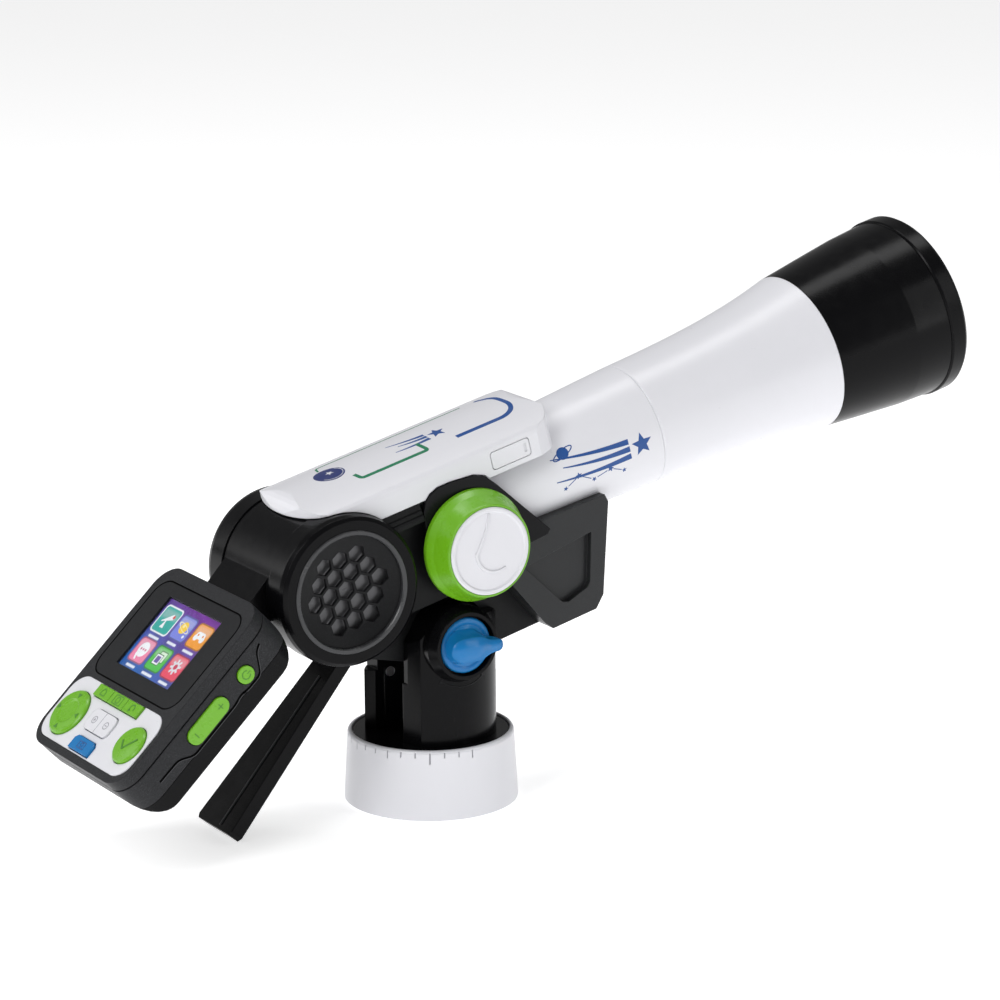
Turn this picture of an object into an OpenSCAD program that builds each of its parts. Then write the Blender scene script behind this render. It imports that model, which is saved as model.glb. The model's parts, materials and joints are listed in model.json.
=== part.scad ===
// Video telescope on a swivel stand: a round base with a degree scale carries a turning fork,
// the fork carries the tilting telescope, and the telescope carries a hinged display at its rear.
// The origin is the centre of the base on the table, +Z is up and the tube points along +X.

/* [Base] */
// Radius of the base ring at the table
base_r = 39.6; // [38:0.1:48]
// Height of the base ring over the table
base_h = 32.7; // [31:0.1:40]

/* [Fork] */
// Radius of the round fork column
fork_r = 29.8; // [27:0.1:31]
// Height of the tilt axis over the table
pivot_z = 78.6; // [76:0.1:95]
// Radius of the tilt bolt
bolt_r = 3; // [2.5:0.1:3.6]

/* [Telescope] */
// Resting elevation of the tube in degrees
tilt = 14; // [0:1:25]
// Distance from the tilt axis to the front of the rim, along the tube
tube_len = 288.5; // [250:0.5:350]
// Radius of the rim at the front of the lens hood
rim_r = 44.1; // [40:0.1:53]
// Radius of the tube at the joint between its two halves
tube_r = 28.9; // [27:0.1:29.5]

/* [Focus] */
// Radius of the green focus knob at its back
knob_r = 25.6; // [22:0.1:27]
// Radius of the focus shaft
shaft_r = 3; // [2.5:0.1:3.6]

/* [Display] */
// Resting slope of the display in degrees
display_slope = 43.6; // [35:0.2:55]
// Radius of the barrel that the display turns on
barrel_r = 33.4; // [30:0.1:33.6]
// Half of the width of the display
display_half = 44; // [42:0.5:52]
// Gap around each key
key_gap = 0.35; // [0.3:0.05:0.6]

/* [Hidden] */

$fn = 96;
wall = 2.2;
fit = 0.05;

// Base
foot_h = 0.8;
base_top_r = base_r - 1.7;
bay_r = base_top_r - 2;
deck_z = base_h - 10.2;
track_z = deck_z + 3;
disc_z = base_h - 3.9;
hub_r = 9;
stem_r = 6;
plate_top = 3.4;
boss_ring_r = 26;
scale_turn = -121;

// Fork
fork_z = base_h - 0.7;
slot_half = 12;
lug_r = 17.7;
arm_face = 28.6;
bezel_y = 33.3;
keel_half = 11.3;
cover_screw_x = -14;

// Telescope frame: T runs along the tube, N runs square to it, both from the tilt axis
axis_n = 52.5;
seam_t = 123.3;
hood_t = 219.6;
rim_t = tube_len - 9.2;
hood_r = rim_r - 6.4;
hull_half = 24;
core_half = 17;
hull_n = 62;
crown_n = 88.5;

// Drum at the rear, seen from the tilt axis
drum_t = -49.5;
drum_n = 47.7;
drum_r = 34;
barrel_half = 21.3;
journal_r = 8;
cap_y = 36;

// Focus knob
knob_t = 16;
knob_n = 42.9;
knob_back = 30.7;
knob_front = 44.5;
pitch_r = 6;

// Display, from the drum axis to the middle of the screen
reach = 65.3;
rise = 33.5;
shell_seam = -18.5;
button_z = -12.8;

module in_telescope() translate([0, 0, pivot_z]) rotate([0, -tilt, 0]) children();
module in_drum() in_telescope() translate([drum_t, 0, drum_n]) children();
module in_display() in_drum()
    rotate([0, tilt - display_slope, 0]) translate([-reach, 0, rise]) children();

// Side outline drawn in X and Z, made solid from y0 to y1
module slab(y0, y1) translate([0, y1, 0]) rotate([90, 0, 0]) linear_extrude(y1 - y0) children();
// Round bar along Y from y0 to y1
module bar_y(r, y0, y1) translate([0, y1, 0]) rotate([90, 0, 0]) cylinder(h = y1 - y0, r = r);
// Outline drawn in radius and height, turned about the Y axis, its heights going towards -Y
module turned_y() rotate([90, 0, 0]) rotate_extrude() children();
// Outline drawn in radius and distance, turned about the tube's axis
module turned_t() translate([0, 0, axis_n]) rotate([0, 90, 0]) rotate_extrude() children();
module ring(r_out, r_in, h) difference() {
    cylinder(h = h, r = r_out);
    translate([0, 0, -1]) cylinder(h = h + 2, r = r_in);
}
module box(x0, x1, y0, y1, z0, z1) translate([x0, y0, z0]) cube([x1 - x0, y1 - y0, z1 - z0]);
// Rectangle with true round corners
module round_rect(x0, x1, y0, y1, r) {
    translate([x0 + r, y0]) square([x1 - x0 - 2 * r, y1 - y0]);
    translate([x0, y0 + r]) square([x1 - x0, y1 - y0 - 2 * r]);
    for (x = [x0 + r, x1 - r], y = [y0 + r, y1 - r]) translate([x, y]) circle(r);
}
module both_sides() {
    children();
    mirror([0, 1, 0]) children();
}

// ---- Base ----
module scale_ticks() {
    for (i = [-15:3]) {
        tick = i % 9 == 0 ? 5 : i % 3 == 0 ? 3.5 : 2.3;
        rotate([0, 0, i * 10 + scale_turn])
            box(base_top_r - 0.5, base_r + 1, -0.25, 0.25, base_h - 0.9 - tick, base_h - 0.9);
    }
}
module at_bosses() for (i = [0:2])
    rotate([0, 0, 30 + 120 * i]) translate([boss_ring_r, 0, 0]) children();

module base_ring() color("white") difference() {
    union() {
        rotate_extrude() polygon([[base_r - 2.7, foot_h], [base_r, foot_h], [base_top_r, base_h - 1.4],
            [base_top_r - 0.5, base_h - 0.4], [base_top_r - 1.2, base_h], [bay_r, base_h],
            [bay_r, track_z], [hub_r, track_z], [hub_r, track_z + 2], [stem_r + fit, track_z + 2],
            [stem_r + fit, deck_z - 6.5], [hub_r, deck_z - 6.5], [hub_r, deck_z],
            [bay_r - 0.7, deck_z], [base_r - 2.7, deck_z - 2.5]]);
        at_bosses() translate([0, 0, plate_top]) cylinder(h = deck_z - plate_top + 1, r = 3.5);
    }
    scale_ticks();
    at_bosses() translate([0, 0, plate_top - 1]) cylinder(h = 11, r = 1.5);
}
module base_plate() color("dimgray") difference() {
    union() {
        translate([0, 0, foot_h]) cylinder(h = plate_top - foot_h, r = base_r - 3.1);
        translate([0, 0, foot_h]) cylinder(h = 9.7, r = 8.5);
    }
    translate([0, 0, foot_h - 1]) cylinder(h = 9.5, r = 5);
    translate([0, 0, foot_h - 1]) ring(35.2, 30.2, 1.6);
    at_bosses() {
        cylinder(h = 6, r = 1.5);
        translate([0, 0, 0]) cylinder(h = 2.2, r = 3);
    }
}
module tripod_insert() color("goldenrod") translate([0, 0, foot_h]) ring(5, 3.175, 8.5);
module base_foot() color("black") ring(35.2, 30.2, foot_h + 0.6);
module base_weight() color("silver") difference() {
    translate([0, 0, plate_top]) ring(base_r - 5, 12, 14);
    at_bosses() cylinder(h = 30, r = 4);
}
module base_screws() color("silver") at_bosses() {
    translate([0, 0, 1.2]) cylinder(h = 1, r = 3);
    translate([0, 0, 1.6]) cylinder(h = 11, r = 1.5);
}

// ---- Fork ----
module at_arm_screws() for (x = [-10, 10], y = [-20, 20]) translate([x, y, 0]) children();

module turntable() color("black") difference() {
    union() {
        translate([0, 0, disc_z]) cylinder(h = fork_z - disc_z, r = bay_r - 0.4);
        translate([0, 0, deck_z - 6.8]) cylinder(h = disc_z - deck_z + 7, r = stem_r);
    }
    cylinder(h = disc_z - 1, r = 2);
    at_arm_screws() {
        cylinder(h = 60, r = 1.5);
        cylinder(h = disc_z + 1.5, r = 3);
    }
}
module pan_bolt() color("silver") {
    translate([0, 0, deck_z - 8.3]) ring(8.6, 2, 1.5);
    translate([0, 0, deck_z - 8.3]) cylinder(h = 12, r = 2);
    translate([0, 0, deck_z - 10.8]) cylinder(h = 2.5, r = 3.8);
}
// Plan of one arm: a slice of the round column with a flat facet down one edge.
// The facet is at the rear of the near arm (side 1) and at the front of the far arm (side -1).
module arm_plan(r, inset, side) intersection() {
    circle(r);
    polygon([for (p = [[-21.3 + inset, -slot_half], [-14.4 + inset, -40], [40, -40], [40, -29.7 + inset],
        [21.8 - inset, -slot_half]]) [p[0] * side, p[1]]]);
}
module arm_side() polygon([[-20.5, 56], [-20.5, pivot_z], [-16.5, pivot_z + 6.4], [0, pivot_z + 11],
    [lug_r, pivot_z], [lug_r + 0.6, pivot_z - 12.6], [24, pivot_z - 21.4], [24, 56]]);
module arm_body(side) {
    translate([0, 0, fork_z]) linear_extrude(pivot_z - 19 - fork_z) arm_plan(fork_r, 0, side);
    intersection() {
        translate([0, 0, 50]) linear_extrude(60) arm_plan(fork_r, 0, side);
        slab(-40, -slot_half) arm_side();
    }
    intersection() {
        translate([0, 0, 50]) linear_extrude(60) arm_plan(fork_r, 0, side);
        slab(-40, -core_half - 0.6) polygon([[0, 56], [27, 56], [27, pivot_z + 4], [25, pivot_z + 8.5],
            [21, pivot_z + 11.5], [0, pivot_z + 12]]);
    }
    translate([0, 0, pivot_z]) bar_y(lug_r, -arm_face, -slot_half);
}
module arm_hollow(side) {
    intersection() {
        translate([0, 0, fork_z + 3]) linear_extrude(pivot_z - 23 - fork_z) arm_plan(fork_r - 2.5, 2.6, side);
        box(-40, 40, -40, -slot_half - 2, 0, 200);
    }
    box(-17, 17, -slot_half - 2, -slot_half + 1, fork_z + 4, fork_z + 28);
}
module arm_shell(side) difference() {
    arm_body(side);
    arm_hollow(side);
    at_arm_screws() cylinder(h = fork_z + 9, r = 1.5);
    translate([cover_screw_x, -slot_half, fork_z + 26]) bar_y(1.2, -8, 1);
}
module fork_arm_near() color("black") difference() {
    union() {
        arm_shell(1);
        translate([0, -arm_face, pivot_z]) rotate([90, 0, 0])
            cylinder(h = bezel_y - arm_face, r1 = lug_r, r2 = 15.4);
    }
    translate([0, 0, pivot_z]) {
        bar_y(13.7, -bezel_y - 1, -arm_face + 0.8);
        bar_y(7, -arm_face, -21);
        bar_y(bolt_r + 0.1, -30, 0);
    }
}
module fork_arm_far() color("black") difference() {
    union() {
        mirror([0, 1, 0]) arm_shell(-1);
        translate([0, arm_face + 2, pivot_z]) bar_y(15.4, -2.5, 0);
    }
    translate([0, 0, pivot_z]) {
        bar_y(bolt_r, 0, 30);
        bar_y(7, 27, 33);
    }
}
module fork_covers() color("black") both_sides() difference() {
    box(-16.9, 16.9, -slot_half - 2, -slot_half, fork_z + 4.1, fork_z + 27.9);
    translate([cover_screw_x, -slot_half, fork_z + 26]) bar_y(1.2, -8, 1);
}
module fork_screws() color("silver") {
    at_arm_screws() {
        translate([0, 0, disc_z + 0.1]) cylinder(h = 1.4, r = 3);
        translate([0, 0, disc_z + 1]) cylinder(h = fork_z - disc_z + 6, r = 1.5);
    }
    both_sides() translate([cover_screw_x, -slot_half, fork_z + 26]) {
        bar_y(1.2, -7, 0);
        bar_y(2.3, 0, 0.4);
    }
}
module tilt_bolt() color("silver") translate([0, 0, pivot_z]) {
    bar_y(bolt_r, -30.4, 28);
    bar_y(6.5, 27, 29.4);
}
module friction_washers() color("ivory") translate([0, 0, pivot_z]) both_sides() difference() {
    bar_y(11, -11.95, -11.45);
    bar_y(bolt_r + 0.1, -20, 0);
}
module lever_side() polygon([[-12, -1.6], [-7, -3.6], [0, -4.4], [8, -3.4], [15, -2.4], [19, -3.6],
    [20, -1], [19.6, 3], [15, 2.6], [8, 3.8], [0, 4.2], [-7, 2.8], [-12, 1.2]]);
module tilt_lock_knob() color("dodgerblue") translate([0, 0, pivot_z]) difference() {
    union() {
        bar_y(13, -31.9, -28.2);
        bar_y(6.5, -28.5, -21.5);
        slab(-39.5, -bezel_y - 0.5) lever_side();
        intersection() {
            slab(-36, -31.7) lever_side();
            bar_y(13, -40, -30);
        }
    }
    bar_y(bolt_r + fit, -30.7, 0);
}

// ---- Telescope tube and optics ----
// Radius of the tube along its length: a slow taper, then a flare towards the lens hood
function flare(t) = let (s = (t - seam_t) / (hood_t - seam_t))
    tube_r + (hood_r - tube_r) * (0.25 * s + 0.75 * pow(s, 2.8));
function tube_rear_r(t) = tube_r - 0.045 * (seam_t - t);
tube_start = 34;
flare_t = [for (i = [0:12]) seam_t + (hood_t - seam_t) * i / 12];

module tube_bore(extra) turned_t() polygon([[0, 0], [tube_rear_r(0) + extra, 0],
    [tube_r + extra, seam_t], [0, seam_t]]);
module tube_rear() color("white") in_telescope() turned_t() polygon([
    [tube_rear_r(tube_start), tube_start], [tube_r, seam_t - 0.6], [tube_r - 0.4, seam_t],
    [tube_r - wall, seam_t], [tube_rear_r(tube_start) - wall, tube_start + wall],
    [6.3, tube_start + wall], [6.3, tube_start - 10], [8, tube_start - 10], [8, tube_start]]);
module tube_front() color("white") in_telescope() turned_t() polygon(concat(
    [[tube_r - wall, seam_t], [tube_r - 0.4, seam_t], [tube_r, seam_t + 0.6]],
    [for (i = [1:12]) [flare(flare_t[i]), flare_t[i]]],
    [for (i = [12:-1:1]) [flare(flare_t[i]) - wall, flare_t[i]]]));
module lens_hood() color("black") in_telescope() turned_t() polygon([[hood_r, hood_t],
    [hood_r + 2.3, hood_t + 0.34 * (rim_t - hood_t)], [hood_r + 4.6, hood_t + 0.7 * (rim_t - hood_t)],
    [rim_r - 0.8, rim_t], [rim_r - 3, rim_t], [hood_r + 2.4, hood_t + 0.7 * (rim_t - hood_t)],
    [hood_r + 0.1, hood_t + 0.34 * (rim_t - hood_t)], [hood_r - wall, hood_t]]);
module hood_rim() color("black") in_telescope() turned_t() polygon([[rim_r - 3, rim_t],
    [rim_r - 0.6, rim_t], [rim_r, rim_t + 0.8], [rim_r, tube_len - 1.4], [rim_r - 1, tube_len],
    [rim_r - 3, tube_len]]);
lens_t = hood_t - 6;
lens_r = flare(lens_t - 2) - wall - 0.1;
module objective_lens() color("lightblue", 0.5) in_telescope() turned_t() polygon(concat(
    [for (i = [0:6]) [lens_r * i / 6, lens_t - 2 - 2.6 * (1 - pow(i / 6, 2))]],
    [for (i = [6:-1:0]) [lens_r * i / 6, lens_t + 2 + 2.6 * (1 - pow(i / 6, 2))]]));
module lens_retainer() color("black") in_telescope() turned_t() polygon([[lens_r - 4, lens_t + 2.7],
    [lens_r, lens_t + 2.7], [lens_r, hood_t], [lens_r - 3, hood_t]]);

// ---- Chassis ----
drum_cut = drum_r + 0.3;
module at_drum() translate([drum_t, 0, drum_n]) children();
module hull_side(inset)
    polygon([[-32, 21.7 + inset], [34 - inset, 21.7 + inset], [34 - inset, hull_n + inset],
    [-32, hull_n + inset]]);
module core_outer() polygon([[6, 36], [9, 21.8], [22, -11.5], [73, -11.5], [78, -6], [86, 34], [86, 42],
    [20, 42]]);
module core_inner() polygon([[25, 21], [25, -9], [71.5, -9], [75.8, -4.8], [83.4, 33], [83.4, 44], [36, 44],
    [34, 24]]);
module keel_side() {
    circle(14);
    polygon([[-14, 0], [-9, -10.5], [-42.5, 6.2], [-46.2, 11.55], [-24, 24], [20, 24], [26, -11.5],
        [6, -12.6]]);
}
module chassis_solid() difference() {
    union() {
        slab(-hull_half, 0) hull_side(0);
        difference() {
            slab(-core_half, 0) core_outer();
            bar_y(19.4, -30, -keel_half);
        }
        slab(-keel_half, 0) keel_side();
    }
    at_drum() bar_y(drum_cut, -barrel_half - 0.3, 1);
}
module chassis_half() difference() {
    union() {
        chassis_solid();
        at_drum() bar_y(31, -hull_half, -barrel_half - 0.3);
    }
    difference() {
        union() {
            slab(-hull_half + wall, 1) hull_side(wall);
            slab(-core_half + wall, 1) core_inner();
        }
        at_drum() bar_y(drum_cut + wall, -60, 2);
        slab(-keel_half, 2) difference() {
            keel_side();
            polygon([[-30, 26], [60, 26], [60, -20], [30, -20], [28, 14], [-10, 23.8], [-30, 23.8]]);
        }
    }
    tube_bore(0.2);
    box(46, 72, -20, 1, -7, 18);
    box(44, 74, -13, 1, -12, -8);
    bar_y(bolt_r + fit, -30, 1);
    translate([knob_t, 0, knob_n]) bar_y(shaft_r + fit, -30, 1);
    at_drum() bar_y(journal_r + fit, -30, 0);
}
module chassis_near() color("dimgray") in_telescope() chassis_half();
module chassis_far() color("dimgray") in_telescope() mirror([0, 1, 0]) chassis_half();

function wing_pts(g) = [[-4.6 - g, 60], [-4 - g, 66], [-2 - g, 70.2], [1.4 - g, 72.8 + g],
    [5.5, 74.3 + g], [12, 74.3 + g], [24 + g, 73 + g],
    [29.5 + g, 70.5 + g], [34 + g, 65 + g], [55.4 + g, 34.4], [53.5 + g, 32.6 - g], [40, 32 - g],
    [16, 24], [-2, 38]];
module wing() difference() {
    union() {
        slab(-30.3, -27.9) polygon(wing_pts(0));
        translate([knob_t, 0, knob_n]) bar_y(10, -28.2, -hull_half);
    }
    translate([knob_t, 0, knob_n]) bar_y(shaft_r + 0.5, -40, 0);
}
module side_wings() color("dimgray") in_telescope() both_sides() wing();

// Ledge under the white cover: a slanting face with two grooves, drawn in Y and N
module band_section() polygon([[21.8, hull_n], [31, hull_n + 0.6], [31, hull_n + 2.2], [30.7, hull_n + 3.4],
    [30.1, hull_n + 3.4], [30.1, hull_n + 4], [30.5, hull_n + 4], [30.2, hull_n + 5.6], [29.6, hull_n + 5.6],
    [29.6, hull_n + 6.2], [29.9, hull_n + 6.2], [29.4, hull_n + 9], [27.2, hull_n + 9],
    [27.2, hull_n + 3], [21.8, hull_n + 2.4]]);
module side_bands() color("dimgray") in_telescope() both_sides() difference() {
    translate([-28, 0, 0]) rotate([90, 0, 90]) linear_extrude(23.3) mirror([1, 0]) band_section();
    at_drum() bar_y(drum_r + 0.1, -40, 40);
}
module fin_outline() polygon([[30, 39], [87.8, 37.9], [88.9, 34], [76, -7.2], [70.8, -12.4], [47, -12.4],
    [43.7, -8.5], [31.3, 16.3], [24, 30]]);
module fin_hollow() polygon([[38, 36], [84.5, 35], [73.5, -6], [70, -9.6], [49, -9.6], [46.6, -7], [35, 18]]);
module fin_pocket()
    polygon([[76.9, 23.7], [70.7, 1.4], [68.9, -0.6], [57.6, -3.4], [54.6, -2.2], [39.7, 21]]);
module side_fins() color("dimgray") in_telescope() both_sides() difference() {
    slab(-27.6, -core_half) fin_outline();
    slab(-22.4, -core_half + 1) fin_hollow();
    slab(-28, -24.6) fin_pocket();
    box(20, 34.1, -hull_half - 0.1, 0, 21.6, 60);
    tube_bore(0.2);
}

// White cover: side, plan and end outlines, each drawn smaller by d for the inside
function nose(d) = [for (i = [0:24]) let (y = (29.5 - d) * (1 - i / 12))
    [60 + (15.5 - d) * sqrt(max(0, 1 - pow(y / (29.5 - d), 2))), y]];
function tail(d) = [for (i = [12:-1:-12]) let (y = (29.5 - d) * i / 12)
    [-47 - (11 - d) * sqrt(max(0, 1 - pow(y / (29.5 - d), 2))), -y]];
// Quarter turn from angle a0, n steps, about a centre with separate radii along X and Y
function quarter(cx, cy, rx, ry, a0, n) =
    [for (i = [0:n]) [cx + rx * cos(a0 - 90 * i / n), cy + ry * sin(a0 - 90 * i / n)]];
module cover_side(d) polygon(concat([[-58 + d, 70]], quarter(-50, crown_n - 8, 8 - d, 8 - d, 180, 6),
    quarter(66, crown_n - 9, 10 - d, 9 - d, 90, 6),
    [[76 - d, 68.5 - d], [20, 68.5 - d], [14, 71 - d], [-30, 71 - d]]));
module cover_plan(d) polygon(concat(nose(d), tail(d)));
function crown(d) = [for (i = [-9:9]) let (y = i * (28.2 - d) / 9) [y, crown_n - d - 0.007 * y * y]];
module cover_end(d) polygon(concat([[-29.5 + d, 60], [-29.5 + d, 79.6 - d], [-29.2 + d, 81.6 - d]],
    crown(d), [[29.2 - d, 81.6 - d], [29.5 - d, 79.6 - d], [29.5 - d, 60]]));
module cover_block(d) intersection() {
    slab(-40, 40) cover_side(d);
    translate([0, 0, 50]) linear_extrude(40) cover_plan(d);
    translate([-80, 0, 0]) rotate([90, 0, 90]) linear_extrude(180) cover_end(d);
}
module port_outline(g) round_rect(34.8 - g, 55 + g, 71.2 - g, 79.2 + g, 1.6);
module top_cover() color("white") in_telescope() difference() {
    cover_block(0);
    difference() {
        cover_block(wall);
        at_drum() bar_y(drum_cut + 2, -21, 21);
    }
    at_drum() bar_y(drum_cut, -40, 40);
    tube_bore(0.2);
    for (s = [-1, 1]) translate([0, s * 29.25, 0]) slab(-1.45, 1.45) polygon(wing_pts(0.3));
    slab(-31, -28.2) port_outline(0.3);
    box(41, 49, -31, -20, 73, 77.6);
}
module port_cover() color("white") in_telescope() difference() {
    slab(-29.5, -28.5) port_outline(0);
    box(52.2, 53.2, -32, -29.1, 73.2, 77.2);
}
module usb_port() color("silver") in_telescope() difference() {
    box(41.2, 48.8, -28, -19, 73.2, 77.4);
    box(41.8, 48.2, -29, -21, 73.8, 76.8);
}

// ---- Inside the telescope ----
teeth = 12;
// Tooth outlines are narrow wedges, so that rack and wheel mesh with plenty of play
module pinion() {
    circle(4.9);
    for (i = [0:teeth - 1]) rotate(i * 360 / teeth)
        polygon([[4.6, -0.9], [6.7, -0.3], [6.7, 0.3], [4.6, 0.9]]);
}
module rack_side() {
    translate([-8, 7.1]) square([44, 2.4]);
    for (i = [-2:9]) translate([(i + 0.5) * 2 * PI * pitch_r / teeth, 0])
        polygon([[-0.9, 7.3], [-0.3, 5.3], [0.3, 5.3], [0.9, 7.3]]);
}
module camera_carriage() color("black") in_telescope() difference() {
    union() {
        translate([-4, 0, axis_n]) rotate([0, 90, 0]) cylinder(h = 44, r = 6.25);
        translate([-4, 0, axis_n]) rotate([0, 90, 0]) cylinder(h = 3, r = 8);
        intersection() {
            translate([knob_t, 0, knob_n]) slab(8, 14) rack_side();
            box(-4, 28, 0, 20, 40, 60);
        }
        box(-4, 18, 4, 14, knob_n + 8, knob_n + 11);
    }
    translate([10, 0, axis_n]) rotate([0, 90, 0]) cylinder(h = 60, r = 4.6);
}
module focus_shaft() color("silver") in_telescope() translate([knob_t, 0, knob_n]) {
    bar_y(shaft_r, -43.4, 22.6);
    slab(8, 14) pinion();
}
module focus_rim() color("yellowgreen") in_telescope() translate([knob_t, 0, knob_n]) difference() {
    turned_y() polygon([[shaft_r, knob_back + 1], [7, knob_back + 1], [7, 41.4], [19.4, 41.4],
        [23.6, knob_back], [knob_r, knob_back], [knob_r - 0.1, knob_back + 2],
        [knob_r - 1.9, 36], [22.2, 40.5], [21.2, knob_front - 0.7], [20.8, knob_front],
        [20, knob_front], [20, 42.6], [shaft_r, 42.6]]);
}
module focus_cap() color("white") in_telescope() translate([knob_t, 0, knob_n]) difference() {
    turned_y() polygon([[0, 43.5], [shaft_r, 43.5], [shaft_r, 42.6], [19.8, 42.6], [19.8, knob_front + 0.2],
        [19.2, knob_front + 0.6], [18, knob_front + 0.6], [17.4, knob_front], [0, knob_front]]);
}
module main_board() color("green") in_telescope() difference() {
    box(-15, 31, -21.6, 21.6, hull_n, hull_n + 1.6);
    at_drum() bar_y(drum_cut + wall + 0.5, -40, 40);
}
module batteries() color("orange") in_telescope()
    for (i = [0, 1], j = [0, 1]) translate([53.5 + 11.2 * i, 0, -0.5 + 11.2 * j]) {
        bar_y(5.25, -21.5, 21.5);
        translate([0, (i + j) % 2 == 0 ? 21.5 : -22.3, 0]) bar_y(1.9, 0, 0.8);
    }
module battery_door() color("dimgray") in_telescope() box(44.3, 73, -12.7, 12.7, -11.5, -9.3);

// ---- Drum at the rear ----
module cap_shell() difference() {
    turned_y() polygon([[31, barrel_half + 0.4], [drum_r, barrel_half + 0.4], [drum_r, 32], [33.4, 34.6],
        [31.8, cap_y], [27.6, cap_y], [27.6, 33.4], [31, 33.4]]);
    translate([-drum_t, 0, -drum_n]) box(-32, 10, -hull_half - 0.02, hull_half, 21.6, hull_n + 0.02);
}
module speaker_cap() color("black") in_drum() cap_shell();
module speaker_trim() color("gray") in_drum() turned_y() polygon([[25.3, 31.4], [27.6, 31.4],
    [27.6, cap_y + 0.2], [27.2, cap_y + 0.6], [25.8, cap_y + 0.6], [25.3, cap_y]]);
// Offset rows of six-sided cells, as far out as the given radius
cell = 8.3;
module hex_cells(r_max, r_cell) for (i = [-5:5], j = [-5:5]) {
    x = cell * (i + j / 2);
    z = cell * 0.866 * j;
    if (norm([x, z]) < r_max) translate([x, z]) rotate(30) circle(r_cell, $fn = 6);
}
module speaker_grille() color("black") in_drum() difference() {
    turned_y() polygon([[0, 31], [10, 31.4], [18, 32.4], [25.3, 34.4], [25.3, 32.6], [18, 30.6], [10, 29.6],
        [0, 29.2]]);
    slab(-40, -20) hex_cells(20.5, 4.1);
}
module speaker_driver() color("gray") in_drum() turned_y() polygon([[0, 26.6], [10, 26.6], [10, 27.6],
    [24, 28.2], [24, 29.2], [21, 29.2], [8, 28.4], [0, 28.2]]);
module far_cap() color("black") in_drum() mirror([0, 1, 0]) union() {
    cap_shell();
    turned_y() polygon([[0, 33.4], [27.6, 33.4], [27.6, 35.2], [24, 35.2], [22, 34.6], [0, 34.6]]);
}
module handle() color("black") in_telescope() translate([-52.8, 0, 7]) rotate([0, -214.7, 0])
    linear_extrude(6.5) polygon([[-8, -8.5], [87, -15.5], [89, -14], [89, 14], [87, 15.5], [-8, 8.5]]);

// ---- Display ----
module barrel_skin() difference() {
    union() {
        bar_y(barrel_r, -barrel_half, barrel_half);
        bar_y(journal_r, -barrel_half - 5, barrel_half + 5);
        slab(-20, 20)
            polygon([[-33.2, 27.2], [-33.2, 24.5], [-33.38, 21.5], [-34, 18.5], [-35.4, 14.6], [-22, 10],
                [-12, 20], [-18, 28.2]]);
    }
    bar_y(barrel_r - 2.4, -barrel_half + 2.3, barrel_half - 2.3);
    bar_y(5, -40, 40);
}
module hinge_barrel() color("black") in_drum() rotate([0, tilt - display_slope, 0]) barrel_skin();

module shell_side(d) polygon(concat([[32 - d, 1.1 - d]], quarter(18, -9, 14 - d, 18 - d, 0, 7),
    quarter(-53, -12, 13.5 - d, 15 - d, 270, 7), [[-66.5 + d, 1.1 - d]]));
module shell_block(d) intersection() {
    slab(-60, 60) shell_side(d);
    translate([0, 0, -40]) linear_extrude(60)
        round_rect(-66.5 + d, 32 - d, -display_half + d, display_half - d, 12 - d);
}
module plate_outline(g) round_rect(-62.6 - g, -30 + g, -41.6 - g, 41.6 + g, 9);
module bezel_outline(g) round_rect(-26.6 - g, 24.8 + g, -38.6 - g, 38.6 + g, 8);
module pill(g) slab(0, 9) {
    translate([-27, button_z - 4.1 - g]) square([16, 8.2 + 2 * g]);
    for (x = [-27, -11]) translate([x, button_z]) circle(4.1 + g);
}
module on_side_wall() translate([0, -display_half - 0.8, 0]) children();

module display_rear() color("black") in_display() difference() {
    shell_block(0);
    shell_block(wall);
    box(-80, 60, -60, 60, shell_seam, 20);
}
module display_front() color("dimgray") in_display() difference() {
    shell_block(0);
    shell_block(wall);
    box(-80, 60, -60, 60, -60, shell_seam);
    translate([0, 0, -0.4]) linear_extrude(5) bezel_outline(0.1);
    box(-22, 22, -28, 28, -5, 5);
    translate([0, 0, -0.4]) linear_extrude(5) plate_outline(0.1);
    translate([0, 0, -5]) linear_extrude(9) {
        plate_outline(-2.4);
        key_openings();
    }
    difference() {
        box(-80, 60, -60, 60, -5.4, -4.6);
        translate([0, 0, -40]) linear_extrude(60)
            round_rect(-65.7, 31.2, -display_half + 0.8, display_half - 0.8, 11.2);
    }
    on_side_wall() pill(key_gap);
    on_side_wall() translate([6.3, 0, button_z]) bar_y(4 + key_gap, 0, 9);
}
module screen_bezel() color("dimgray") in_display() translate([0, 0, -0.4]) linear_extrude(1.5)
difference() {
    bezel_outline(0);
    translate([-18.6, -24.7]) square([37.2, 49.4]);
}
module screen_glass() color("navy") in_display() box(-18.5, 18.5, -24.6, 24.6, -0.55, 0.1);
module lcd_panel() color("slateblue") in_display() box(-21.6, 21.6, -27.6, 27.6, -3.8, -0.6);
module display_board() color("green") in_display() box(-61, 24, -38, 38, -9, -7.4);

// Outlines of the keys on the front, each grown by g for its opening
bar_key_half = 20.6;
module bar_key(y0, y1, g)
    polygon([[-30.4 + g, y0 - g], [-36.4 - g, y0 - g], [-36.4 - g, y1 + g], [-30.4 + g, y1 + g]]);
module dpad_outline(g) circle(11.4 + g);
module ok_outline(g) circle(9.2 + g);
module white_outline(g) round_rect(-51 - g, -40.4 + g, -10.8 - g, 10.8 + g, 3.5);
module blue_outline(g) polygon([[-61.6 - g, -9 - g], [-61.6 - g, 9 + g], [-56.4 + g, 9 + g],
    [-54.6 + g, 7 + g], [-54.6 + g, -7 - g], [-56.4 + g, -9 - g]]);
module at_dpad() translate([-48.3, 27.2, 0]) children();
module at_ok() translate([-47.7, -30.4, 0]) children();
key_base = -3.2;

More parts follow.
